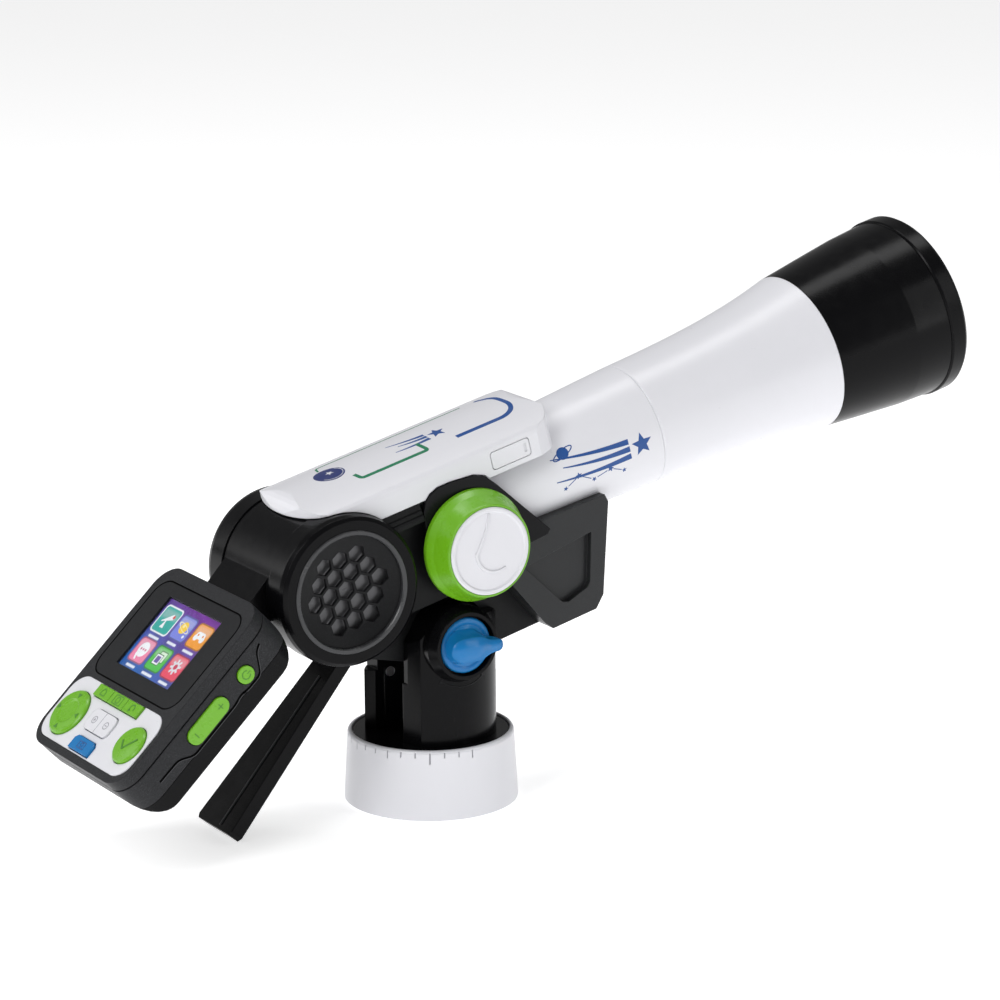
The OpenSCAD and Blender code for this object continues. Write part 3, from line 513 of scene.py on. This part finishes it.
def paintScreen():
    # each shape is a signed distance, and its colour covers the points where that distance is negative
    across01 = np.linspace(-screen["wide"] / 2, screen["wide"] / 2,
                           int(screen["wide"] / screen["cell"]) + 1)
    up01 = np.linspace(-screen["tall"] / 2, screen["tall"] / 2, int(screen["tall"] / screen["cell"]) + 1)
    x, y = np.meshgrid(across01, up01)   # x to the viewer's right, y up
    shade = np.clip(0.5 + x / screen["wide"] * 0.5 + y / screen["tall"] * 0.9, 0, 1)[..., None]
    picture = (1 - shade) * np.array([0.01, 0.11, 0.42]) + shade * np.array([0.16, 0.012, 0.30])
    rays = 0.5 + 0.5 * np.sin(14 * np.arctan2(y - 22, x + 6))
    picture = picture * (0.85 + 0.3 * rays[..., None])

    def cover(distance, color, soft=0.16):
        nonlocal picture
        share = np.clip(0.5 - distance / soft, 0, 1)[..., None]
        picture = picture * (1 - share) + np.array(color) * share

    def roundBox(cx, cy, halfX, halfY, corner):
        outX = np.abs(x - cx) - halfX + corner
        outY = np.abs(y - cy) - halfY + corner
        return np.hypot(np.maximum(outX, 0), np.maximum(outY, 0)) + np.minimum(np.maximum(outX, outY),
                                                                               0) - corner

    def circle(cx, cy, radius):
        return np.hypot(x - cx, y - cy) - radius

    columns = (-15.6, 0.2, 15.6)
    rows = (8.6, -8.4)
    tiles = [(0.02, 0.42, 0.36), (0.20, 0.24, 0.75), (0.95, 0.36, 0.03), (0.90, 0.25, 0.42),
             (0.08, 0.55, 0.07), (0.85, 0.07, 0.13)]
    for k, tone in enumerate(tiles):
        cx, cy = columns[k % 3], rows[k // 3]
        big = 1.12 if k == 0 else 1.0
        cover(roundBox(cx, cy, 6.9 * big, 6.5 * big, 2.2),
              (0.92, 0.95, 0.97) if k == 0 else [c * 0.45 for c in tone])
        cover(roundBox(cx, cy, 6.2 * big, 5.8 * big, 1.8), tone)
        cover(roundBox(cx, cy + 3.0, 5.6 * big, 2.2, 1.4), [c * 0.7 + 0.22 for c in tone], 1.6)
        cover(roundBox(cx, cy - 8.4 * big, 4.6 - k % 2 * 0.7, 0.65, 0.5), (0.85, 0.88, 0.95), 0.5)
    white = (0.95, 0.96, 0.98)
    # telescope tile: a slanted tube over a stand
    lean = (x - columns[0]) * 0.88 + (y - rows[0]) * 0.47
    off = (y - rows[0]) * 0.88 - (x - columns[0]) * 0.47
    cover(np.maximum(np.abs(lean) - 4.0, np.abs(off - 0.8) - 0.9 - 0.16 * lean), white)
    cover(np.maximum(np.abs(x - columns[0] + 0.6) - 0.45 - np.maximum(0, -(y - rows[0] + 1)) * 0.35,
                     np.abs(y - rows[0] + 2.2) - 1.9), white)
    cover(circle(columns[0] + 3.4, rows[0] + 2.6, 0.9), (0.75, 0.05, 0.05))
    # planet tile
    cover(circle(columns[1] - 0.2, rows[0] + 0.4, 3.1), (1.0, 0.66, 0.04))
    cover(circle(columns[1] - 1.0, rows[0] + 1.2, 1.0), (1.0, 0.85, 0.35))
    ringBand = np.abs(np.hypot((x - columns[1] + 0.2) * 0.55,
                               (y - rows[0] - 0.4 + (x - columns[1]) * 0.3) * 1.9) - 2.7) - 0.25
    cover(ringBand, (0.95, 0.90, 0.65))
    cover(circle(columns[1] + 3.8, rows[0] - 3.4, 0.8), white)
    # game tile: a hand-held controller
    cover(roundBox(columns[2], rows[0] + 0.6, 3.6, 1.8, 1.6), white)
    for side in (-1, 1):
        cover(circle(columns[2] + side * 2.7, rows[0] - 0.8, 1.7), white)
        cover(circle(columns[2] + side * 2.0, rows[0] + 0.7, 0.6), (0.8, 0.25, 0.02))
    # question tile: a speech bubble with three dots
    cover(circle(columns[0], rows[1] + 0.6, 3.9), white)
    cover(np.maximum(np.abs(x - columns[0] + 2.2 + (y - rows[1] + 3.4) * 0.5) - 0.7,
                     np.abs(y - rows[1] + 3.4) - 1.6), white)
    for k in (-1, 0, 1):
        cover(circle(columns[0] + 1.9 * k, rows[1] + 0.7, 0.62), (0.65, 0.08, 0.25))
    # picture tile: two overlapping cards
    for dx, dy, tone in ((1.1, 1.0, (0.75, 0.90, 0.72)), (-0.8, -0.7, white)):
        cover(roundBox(columns[1] + dx, rows[1] + 0.4 + dy, 2.9, 2.9, 0.5), (0.02, 0.16, 0.03))
        cover(roundBox(columns[1] + dx, rows[1] + 0.4 + dy, 2.5, 2.5, 0.4), tone)
    cover(roundBox(columns[1] - 0.8, rows[1] - 0.3, 1.7, 1.7, 0.3), (0.16, 0.10, 0.40))
    # settings tile: a toothed wheel
    angle = np.arctan2(y - rows[1] - 0.4, x - columns[2])
    teeth = 3.2 + 0.75 * np.clip(2.2 * np.sin(8 * angle), -1, 1)
    cover(np.hypot(x - columns[2], y - rows[1] - 0.4) - teeth, (0.78, 0.78, 0.82))
    cover(circle(columns[2], rows[1] + 0.4, 1.4), (0.62, 0.05, 0.10))
    return x, y, picture


def buildScreen():
    x, y, picture = paintScreen()
    rows, columns = x.shape
    points = onFace(y.ravel(), -x.ravel(), np.full(x.size, -screen["behind"]))
    index = np.arange(rows * columns).reshape(rows, columns)
    quads = np.stack([index[:-1, :-1], index[:-1, 1:], index[1:, 1:], index[1:, :-1]], 2).reshape(-1, 4)
    mesh = bpy.data.meshes.new("screenPicture")
    mesh.from_pydata(points.tolist(), [], quads.tolist())
    paint = mesh.color_attributes.new(name="paint", type="FLOAT_COLOR", domain="POINT")
    paint.data.foreach_set("color", np.concatenate([picture.reshape(-1, 3), np.ones((x.size, 1))],
                                                   1).ravel())
    material = bpy.data.materials.new("screenGlow")
    material.use_nodes = True
    made = Nodes(material.node_tree)
    shader = material.node_tree.nodes["Principled BSDF"]
    color = made.add("Attribute", {"attribute_name": "paint"}).outputs["Color"]
    material.node_tree.links.new(color, shader.inputs["Emission Color"])
    material.node_tree.links.new(made.mix(0.9, color, (0, 0, 0, 1)), shader.inputs["Base Color"])
    shader.inputs["Emission Strength"].default_value = screen["glow"]
    shader.inputs["Roughness"].default_value = 0.4
    mesh.materials.append(material)
    mesh.update()
    piece = bpy.data.objects.new("screenPicture", mesh)
    bpy.context.scene.collection.objects.link(piece)
    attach(piece, "display")


buildScreen()
print("screen painted")

# marks on the keys: (u, v) are millimetres up and across the display from the middle of the screen
keys = {"dpad": (-48.3, 27.2), "ok": (-47.7, -30.4), "bar": -33.4, "barStep": 13.9, "white": (-45.7, 0.0),
        "blue": (-58.1, 0.0), "stroke": 0.75, "mark": 0.08}
stroke = keys["stroke"]
dpadMarks = [patch(onFace, (keys["dpad"][0] + 8.4 * math.cos(turn),
                            keys["dpad"][1] + 8.4 * math.sin(turn)), arrow(1.6),
                   3.04 + keys["mark"], 2.6, turn=turn, steps=24,
                   rings=1) for turn in np.arange(4) * math.pi / 2]
makePiece("dpadArrows", dpadMarks, keyMark, "dpad_body")
okMarks = [ribbon(onFace, route([(keys["ok"][0] + 0.6, keys["ok"][1] + 4.4),
                                 (keys["ok"][0] - 3.0, keys["ok"][1] + 1.2),
                                 (keys["ok"][0] + 3.6, keys["ok"][1] - 4.6)], 0.4, 0.6), 0.95,
                  3.1 + keys["mark"], 2.3)]
makePiece("okTick", okMarks, keyMark, "ok_body")
barTop = 2.4 + keys["mark"]
u0 = keys["bar"]
step = keys["barStep"]
homeMark = [ribbon(onFace, route([(u0 - 1.6, step - 1.8), (u0 + 0.3, step - 1.8), (u0 + 2.0, step),
                                  (u0 + 0.3, step + 1.8),
                                  (u0 - 1.6, step + 1.8), (u0 - 1.6, step - 1.8)], 0.3, 0.5), 0.45,
                   barTop, 2.0)]
makePiece("leftKeyMark", homeMark, keyMark, "left_key_body")
lensMark = [ribbon(onFace, arc((u0, 0), 1.5, 0, 360, 25)[:-1], 0.45, barTop, 2.0, closed=True),
            ribbon(onFace, route([(u0 - 2.2, -3.4), (u0 + 2.2, -3.4), (u0 + 2.2, 3.4), (u0 - 2.2, 3.4),
                                  (u0 - 2.2, -3.4)], 0.5, 0.6),
                   0.4, barTop, 2.0)]
makePiece("middleKeyMark", lensMark, keyMark, "middle_key_body")
backMark = [ribbon(onFace, np.concatenate([arc((u0, -step), 1.7, -120, 130, 18)]), 0.5, barTop, 2.0),
            patch(onFace, (u0 - 1.3, -step + 1.5), arrow(1.1), barTop, 2.0, turn=3.6, steps=18, rings=1)]
makePiece("rightKeyMark", backMark, keyMark, "right_key_body")
whiteMarks = [ribbon(onFace, [(keys["white"][0] - 5.1, 0.0), (keys["white"][0], 0.0),
                              (keys["white"][0] + 5.1, 0.0)], 0.35, 2.23, 1.8)]
for side in (-1, 1):
    middle = (keys["white"][0], side * 5.4)
    whiteMarks.append(ribbon(onFace, arc(middle, 1.7, 0, 360, 25)[:-1], 0.4, 2.24, 1.8, closed=True))
    whiteMarks.append(ribbon(onFace, [(middle[0], middle[1] - 0.9), (middle[0], middle[1] + 0.9)], 0.4,
                             2.24, 1.8))
whiteMarks.append(ribbon(onFace, [(keys["white"][0] - 0.9, 5.4), (keys["white"][0] + 0.9, 5.4)], 0.4,
                         2.25, 1.8))
makePiece("whiteKeyMarks", whiteMarks, greyMark, "white_key_body")
blueMarks = [ribbon(onFace, route([(keys["blue"][0] - 1.7, -2.8), (keys["blue"][0] + 1.5, -2.8),
                                   (keys["blue"][0] + 1.5, 2.8),
                                   (keys["blue"][0] - 1.7, 2.8), (keys["blue"][0] - 1.7, -2.8)], 0.5,
                                  0.5), 0.45, 2.48, 2.0),
             ribbon(onFace, arc(keys["blue"], 1.0, 0, 360, 19)[:-1], 0.4, 2.48, 2.0, closed=True)]
makePiece("blueKeyMark", blueMarks, blueMark, "blue_key_body")
sideOut = 0.8 + keys["mark"]
powerAt = (6.3, -12.8)
powerMarks = [ribbon(onDisplaySide, arc(powerAt, 1.9, 35, 325, 26), 0.42, sideOut, 0.4),
              ribbon(onDisplaySide, [(powerAt[0] + 0.7, powerAt[1]), (powerAt[0] + 2.6, powerAt[1])],
                     0.42, sideOut, 0.4)]
makePiece("powerMark", powerMarks, keyMark, "power_body")
volumeMarks = [ribbon(onDisplaySide, [(-11 - 1.5, -12.8), (-11 + 1.5, -12.8)], 0.45, sideOut, 0.4),
               ribbon(onDisplaySide, [(-11.0, -12.8 - 1.5), (-11.0, -12.8 + 1.5)], 0.45, sideOut + 0.01,
                      0.4),
               ribbon(onDisplaySide, [(-27.0, -12.8 - 1.5), (-27.0, -12.8 + 1.5)], 0.45, sideOut, 0.4)]
makePiece("volumeMarks", volumeMarks, keyMark, "rocker_body")
sidePath = route([(-52, -13.4), (-40, -13.6), (-34, -18.3), (-6, -18.3), (-1, -17.2), (2, -18.3),
                  (11, -18.3),
                  (17, -9.4), (20, -8.4)], 2.4, 0.8)


def roundLoop(low, high, half, radius):
    # closed rounded rectangle from low to high along u and half to each side along v
    corners = [(high - radius, half - radius, 0), (low + radius, half - radius, 90),
               (low + radius, radius - half, 180), (high - radius, radius - half, 270)]
    return np.concatenate([arc((u, v), radius, start, start + 90, 10) for u, v, start in corners])


makePiece("displaySideSeam", [ribbon(onDisplaySide, sidePath, 0.85, 0.05, -0.4),
                              ribbon(onFace, roundLoop(-26.9, 25.1, 38.9, 8.2), 0.7, 1.16, 0.6,
                                     closed=True)],
          seamBlack, "display")
# thin lighter ribbon just beside the side seam: a painted highlight where the seam's ridge catches light
makePiece("displaySidePaintedHighlight", [ribbon(onDisplaySide, sidePath + [0, -0.75], 0.3, 0.12, -0.4)], seamPaintedHighlight,
          "display")
print("key marks made")

# relief on the knobs, the fork and the scale
knobRelief = {"width": 1.5, "rise": 0.5}
fall = np.linspace(0, 1, 16)[:, None]
dropTop = np.array([3.6, 16.6])
bowl = arc((2.2, -1.0), 9.3, 168, 292, 40)
# drop outline: (1 - s) top + s side, bowed by 0.9 sin(pi s), then a part circle of radius 9.3
capLine = np.concatenate([dropTop + (bowl[0] - dropTop) * fall + 0.9 * np.sin(math.pi * fall)
                          * np.array([0.8, -0.6]),
                          bowl[1:]])
swirl = np.linspace(0, 1, len(capLine))
makePiece("knobCapRelief", [ribbon(onKnob, capLine,
                                   knobRelief["width"] * (0.35 + np.sin(math.pi * swirl) * 0.65),
                                   knobRelief["rise"], -0.2)], finishes["white_plastic"], "focus_knob")
# tilt lock: a turned disc with a lever lofted on it
lockSet = {"radius": 12.8, "faceOut": 32.1, "tipOut": 39.4, "back": 28.3, "left": -11.0, "right": 15.2,
           "middleHalf": 5.6, "flare": 2.2, "tipHalf": 2.8}


def lathe(centre, profile, steps=72):
    # profile of (radius, distance out along -Y) turned about the Y axis through centre: x = r cos, z = r
    # sin
    profile = np.asarray(profile, float)
    angle = np.linspace(0, 2 * math.pi, steps, endpoint=False)
    x = np.outer(profile[:, 0], np.cos(angle)).ravel()
    z = np.outer(profile[:, 0], np.sin(angle)).ravel()
    y = np.repeat(profile[:, 1], steps)
    points = centre * [1, 0, 1] + np.stack([x, -y, z], 1) * mm
    ring, after = np.arange(steps), (np.arange(steps) + 1) % steps
    sides = [np.stack([k * steps + ring, k * steps + after, (k + 1) * steps + after,
                       (k + 1) * steps + ring], 1)
             for k in range(len(profile) - 1)]
    ends = [list(range(steps)), [(len(profile) - 1) * steps + k for k in range(steps)]]
    return points, [face for block in sides for face in block.tolist()] + ends


def loftLever(centre, long=40, high=14):
    # u runs along the lever, k up its flank from 0 to 1 and down the other side:
    # half width = tip + (middle - tip) exp(-(u / 8)^4) + flare (1 - k)^2, height = face + (top - face)
    # sin(pi k / 2)
    u = np.linspace(0, 1, long)
    left, right = lockSet["left"], lockSet["right"]
    along = left + (right - left) * (0.5 - 0.5 * np.cos(math.pi * u))
    share = (along - left) / (right - left)
    closing = np.clip(1 - np.abs(2 * share - 1) ** 14, 0, 1) ** 0.5
    body = lockSet["tipHalf"] + (lockSet["middleHalf"]
                                 - lockSet["tipHalf"]) * np.exp(-((along + 1.5) / 8.5) ** 4)
    rise = np.linspace(0, 1, high)
    flare = lockSet["flare"] * np.exp(-((along + 1.0) / 9.0) ** 4)
    half = (body[:, None] + np.outer(flare, (1 - rise) ** 2)) * closing[:, None]
    top = lockSet["tipOut"] - 1.2 * np.clip((-along - 4) / 7, 0, 1) ** 2 - 0.9 * np.clip((along - 3) / 13,
                                                                                         0, 1) ** 2
    floor = lockSet["faceOut"] - 0.6 + 3.4 * np.clip((along - 11.0) / 3.0, 0, 1)
    out = floor[:, None] + np.outer(top - floor, np.sin(math.pi * rise / 2))
    z = np.concatenate([half, -half[:, ::-1]], 1)
    y = np.concatenate([out, out[:, ::-1]], 1)
    x = np.repeat(along[:, None], 2 * high, 1)
    points = centre * [1, 0, 1] + np.stack([x.ravel(), -y.ravel(), z.ravel()], 1) * mm
    index = np.arange(long * 2 * high).reshape(long, 2 * high)
    turned = np.roll(index, -1, 1)
    quads = np.stack([index[:-1], turned[:-1], turned[1:], index[1:]], 2).reshape(-1, 4).tolist()
    return points, quads + [index[0].tolist(), index[-1].tolist()]


lockCentre = np.array(joints["lock_turn"]["pos_m"])
face, edgeR = lockSet["faceOut"], lockSet["radius"]
corner = np.radians(np.linspace(0, 90, 6))
discProfile = [(0.01, lockSet["back"]), (edgeR - 0.4, lockSet["back"]), (edgeR, lockSet["back"] + 0.4)]
discProfile += [(edgeR - 1.2 + 1.2 * math.cos(a), face - 1.2 + 1.2 * math.sin(a)) for a in corner]
discProfile += [(edgeR - 3.0, face), (edgeR - 3.3, face - 0.35), (edgeR - 3.6, face), (0.01, face)]
lockLever = makePiece("lockLever", [lathe(lockCentre, discProfile), loftLever(lockCentre)],
                      finishes["blue_plastic"],
                      "lock_knob", smooth=True)
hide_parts("tilt_lock_knob")
armMarks = [ribbon(onArm, arc((0, 78.6), 19.4, 236, 304, 30), 0.5, 0.18, -0.3),
            patch(onArm, (-10.6, 62.4), arrow(1.3), 0.2, turn=2.55, steps=18, rings=1),
            patch(onArm, (10.6, 62.4), arrow(1.3), 0.2, turn=0.6, steps=18, rings=1)]
makePiece("lockArrow", armMarks, finishes["dark_plastic"], "fork")
ticks = []
for k in range(-15, 4):
    tall = 5.0 if k % 9 == 0 else 3.5 if k % 3 == 0 else 2.3
    angle = k * 10 - 121
    ticks.append(ribbon(onBase, [(angle, 31.75 - tall), (angle, 31.8)], 0.62, -0.45, -1.3))
makePiece("scaleShadow", ticks, greyMark, "base")
# back of the display and underside of the base: screws, vents and a rating plate without any lettering
backSet = {"screws": ((-58.0, 36.0), (-58.0, -36.0), (8.0, 36.0), (8.0, -36.0)), "screwR": 2.4,
           "ventFrom": -30.0,
           "ventStep": 3.2, "vents": 6, "ventHalf": 11.0}
backScrews = []
backSlots = []
for u, v in backSet["screws"]:
    backScrews.append(patch(onDisplayBack, (u, v), disc(backSet["screwR"]), -0.05, -1.0, steps=32))
    backSlots += [ribbon(onDisplayBack, [(u - 1.5, v), (u + 1.5, v)], 0.5, -0.02, -0.6),
                  ribbon(onDisplayBack, [(u, v - 1.5), (u, v + 1.5)], 0.5, -0.02, -0.6)]
for k in range(backSet["vents"]):
    u = backSet["ventFrom"] + k * backSet["ventStep"]
    backSlots.append(ribbon(onDisplayBack, [(u, -backSet["ventHalf"]), (u, backSet["ventHalf"])], 1.2,
                            -0.04, -0.6))
makePiece("backScrews", backScrews, finishes["steel"], "display")
makePiece("backSlots", backSlots, seamBlack, "display")


def onPlateUnder(u, v, h):
    # flat underside of the base plate, looked at from below
    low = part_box("base_plate")[0].z
    return np.stack([np.asarray(u, float) * mm, np.asarray(v, float) * mm,
                     low - np.asarray(h, float) * mm], 1)


underMarks = [patch(onPlateUnder, (-19.0, 0.0), plate(4.6, 10.5), 0.08, steps=80)]
makePiece("underLabel", underMarks, greyMark, "base")

# one ridge along the handle, which leaves the telescope at a slope: s runs down it, w across, h off its
# front
handleSet = {"root": (-52.8, 7.0), "turn": 214.7, "from": 8.0, "to": 87.0, "side": -0.3}


def onHandle(s, w, h):
    # point = root + s (cos t, sin t) + h (sin t, -cos t) in the telescope's (along, off) plane, w across
    t = math.radians(handleSet["turn"])
    away = alongTube * math.cos(t) + offTube * math.sin(t)
    out = alongTube * math.sin(t) - offTube * math.cos(t)
    root = pivot + (alongTube * handleSet["root"][0] + offTube * handleSet["root"][1]) * mm
    return root + col(s) * away + col(w) * across + col(h) * out


run = np.linspace(handleSet["from"], handleSet["to"], 12)
ridge = ribbon(onHandle, np.stack([run, handleSet["side"] * (8.5 + (run + 8) * 7 / 95)], 1), 1.0, 0.5)
makePiece("handleRidge", [ridge], finShell, "telescope")
print("reliefs made")

# stage: floor, sky, soft panels and the camera
stageSet = {"floorSize": 40.0, "floorTone": (0.97, 0.97, 0.975), "floorGlow": 0.60, "sky": 0.25,
            "camera": {"azimuth": -31.36, "elevation": 14.17, "roll": -0.37, "lens": 138.28,
                       "target": (0.0379, 0.0005, 0.1332), "distance": 1.7376}}


def buildStage():
    half = stageSet["floorSize"] / 2
    mesh = bpy.data.meshes.new("floor")
    mesh.from_pydata([(-half, -half, 0), (half, -half, 0), (half, half, 0), (-half, half, 0)], [],
                     [(0, 1, 2, 3)])
    paper = bpy.data.materials.new("paleFloor")
    paper.use_nodes = True
    made = Nodes(paper.node_tree)
    shader = paper.node_tree.nodes["Principled BSDF"]
    fibre = made.add("TexNoise", None, Vector=made.add("TexCoord").outputs["Object"], Scale=6.0,
                     Detail=3.0).outputs[0]
    low = tuple(c * 0.985 for c in stageSet["floorTone"])
    paper.node_tree.links.new(made.mix(fibre, (*low, 1), (*stageSet["floorTone"], 1)),
                              shader.inputs["Base Color"])
    shader.inputs["Roughness"].default_value = 0.75
    shader.inputs["Specular IOR Level"].default_value = 0.1
    shader.inputs["Emission Color"].default_value = (1, 1, 1, 1)
    shader.inputs["Emission Strength"].default_value = stageSet["floorGlow"]
    mesh.materials.append(paper)
    floor = bpy.data.objects.new("floor", mesh)
    bpy.context.scene.collection.objects.link(floor)
    world = bpy.data.worlds.new("studio")
    world.use_nodes = True
    world.node_tree.nodes["Background"].inputs["Color"].default_value = (1.0, 1.0, 1.0, 1)
    world.node_tree.nodes["Background"].inputs["Strength"].default_value = stageSet["sky"]
    bpy.context.scene.world = world


def addPanel(name, place, size, power, aim=(0.05, 0, 0.12), tone=(1, 1, 1)):
    light = bpy.data.lights.new(name, "AREA")
    light.shape, light.size, light.size_y, light.energy, light.color = "RECTANGLE", size[0], size[1], power, tone
    holder = bpy.data.objects.new(name, light)
    holder.location = place
    holder.rotation_euler = (Vector(aim) - Vector(place)).to_track_quat("-Z", "Y").to_euler()
    bpy.context.scene.collection.objects.link(holder)


def buildCamera():
    given = stageSet["camera"]
    a, e, r = (math.radians(given[key]) for key in ("azimuth", "elevation", "roll"))
    back = Vector((math.sin(a) * math.cos(e), -math.cos(a) * math.cos(e), math.sin(e)))
    right = Vector((math.cos(a), math.sin(a), 0))
    up = back.cross(right)
    turnedRight = right * math.cos(r) + up * math.sin(r)
    turnedUp = up * math.cos(r) - right * math.sin(r)
    lens = bpy.data.cameras.new("camera")
    lens.lens, lens.sensor_width = given["lens"], 36.0
    lens.clip_start, lens.clip_end = 0.05, 60.0
    camera = bpy.data.objects.new("camera", lens)
    bpy.context.scene.collection.objects.link(camera)
    turn = Matrix((turnedRight, turnedUp, back)).transposed().to_4x4()
    camera.matrix_world = Matrix.Translation(Vector(given["target"]) + back * given["distance"]) @ turn
    bpy.context.scene.camera = camera


buildStage()
addPanel("keyPanel", (-1.5, -0.7, 1.3), (0.45, 1.5), 15)
addPanel("topPanel", (0.2, 0.3, 1.9), (1.8, 0.5), 13)
addPanel("frontPanel", (1.0, -1.5, 0.7), (0.2, 1.6), 4)
addPanel("rearPanel", (-1.3, 1.6, 0.9), (0.4, 1.2), 6)
buildCamera()
bpy.context.scene.view_settings.view_transform = "Standard"
print("stage set")
